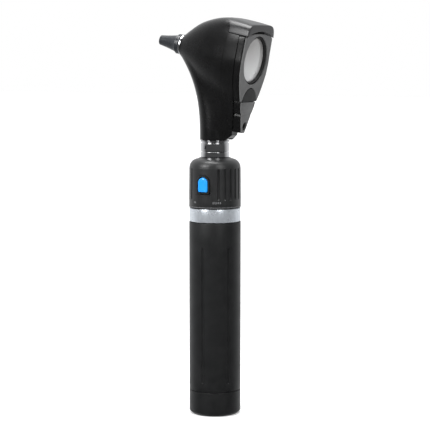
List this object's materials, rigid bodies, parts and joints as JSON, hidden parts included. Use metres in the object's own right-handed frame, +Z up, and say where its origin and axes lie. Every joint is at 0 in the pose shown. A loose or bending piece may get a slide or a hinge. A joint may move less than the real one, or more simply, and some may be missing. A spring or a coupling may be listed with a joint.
{
  "type": "otoscope",
  "caption": "Hand-held otoscope: lit black head with a swinging magnifier, chrome bayonet neck, ribbed dimmer collar with a blue lock button and a round rechargeable handle.",
  "frame": {"origin": "centre of the handle's flat bottom face, on the charging contact", "axes": "+Z up the handle, +X towards the lens and the user, -X towards the ear speculum, -Y through the lock button"},
  "size_m": [0.0669, 0.0336, 0.2302],
  "materials": {
    "black_plastic": "satin black moulding",
    "grip_black": "fine-grained black moulding",
    "plate_grey": "matt dark grey",
    "boss_black": "matt black",
    "polished_chrome": "polished",
    "satin_aluminium": "fine turned satin",
    "button_blue": "glossy blue",
    "lens_glass": "clear, polished",
    "speculum_black": "semi-gloss black moulding",
    "seal_rubber": "matt",
    "contact_brass": "gold-plated contact",
    "spring_steel": "drawn wire",
    "insulator_white": "off-white moulding",
    "cell_blue": "shrink sleeve",
    "board_green": "solder mask",
    "lamp_glass": "clear envelope",
    "fibre_clear": "clear light guide"
  },
  "bodies": {
    "handle": {"handle_barrel": "grip_black", "coupling_boss": "polished_chrome", "bayonet_pin_1": "polished_chrome", "bayonet_pin_2": "polished_chrome", "trim_ring": "satin_aluminium", "battery_terminal": "contact_brass", "terminal_plate": "contact_brass", "rheostat_track": "contact_brass", "contact_pin": "contact_brass", "battery_spring": "spring_steel", "terminal_spring": "spring_steel", "contact_spring": "spring_steel", "regulator_housing": "insulator_white", "rheostat_base": "insulator_white", "contact_bushing": "insulator_white", "battery_cell": "cell_blue", "charge_board": "board_green"},
    "cap_thread": {"cap_seal": "seal_rubber"},
    "cap": {"end_cap": "grip_black", "charge_ring": "contact_brass", "charge_contact": "contact_brass", "contact_washer": "insulator_white"},
    "collar": {"rheostat_collar": "black_plastic", "collar_core": "insulator_white", "rheostat_wiper": "contact_brass", "button_bezel": "boss_black"},
    "button": {"lock_button": "button_blue", "button_spring": "spring_steel"},
    "head": {"head_socket": "polished_chrome", "lamp_contact": "contact_brass", "lamp_insulator": "insulator_white", "lamp_base": "polished_chrome", "lamp_bulb": "lamp_glass", "fibre_bundle": "fibre_clear", "fibre_ring": "fibre_clear", "head_shell": "black_plastic", "top_cover": "black_plastic", "pivot_boss": "boss_black", "pivot_pin": "spring_steel", "lower_plate": "plate_grey", "insufflation_port": "boss_black", "nozzle_ring": "polished_chrome", "speculum_seat": "satin_aluminium"},
    "lens": {"lens_frame": "plate_grey", "lens_gasket": "seal_rubber", "magnifier_lens": "lens_glass", "lens_retaining_ring": "boss_black"},
    "speculum": {"ear_speculum": "speculum_black"}
  },
  "joints": [
    {"name": "cap_travel", "type": "slide", "parent": "handle", "child": "cap_thread", "axis": [0, 0, -1], "range_m": [0, 0.003]},
    {"name": "cap_unscrew", "type": "hinge", "parent": "cap_thread", "child": "cap", "pos_m": [0, 0, 0.01], "axis": [0, 0, 1], "range_deg": [0, 720]},
    {"name": "collar_turn", "type": "hinge", "parent": "handle", "child": "collar", "pos_m": [0, 0, 0.135], "axis": [0, 0, -1], "range_deg": [0, 120]},
    {"name": "button_press", "type": "slide", "parent": "collar", "child": "button", "axis": [0, 1, 0], "range_m": [0, 0.0015], "stiffness_N_per_m": 400, "springref_m": -0.002, "deforming": ["button_spring"]},
    {"name": "head_twist", "type": "hinge", "parent": "handle", "child": "head", "pos_m": [0, 0, 0.1565], "axis": [0, 0, 1], "range_deg": [0, 30]},
    {"name": "lens_swing", "type": "hinge", "parent": "head", "child": "lens", "pos_m": [-0.00469, 0, 0.18655], "axis": [0.9816, 0, -0.1908], "range_deg": [-45, 45]},
    {"name": "speculum_pull", "type": "slide", "parent": "head", "child": "speculum", "axis": [-0.9816, 0, 0.1908], "range_m": [0, 0.02]}
  ],
  "couplings": [
    {"joint": "cap_travel", "follows": "cap_unscrew", "m_per_rad": 0.00023873}
  ]
}
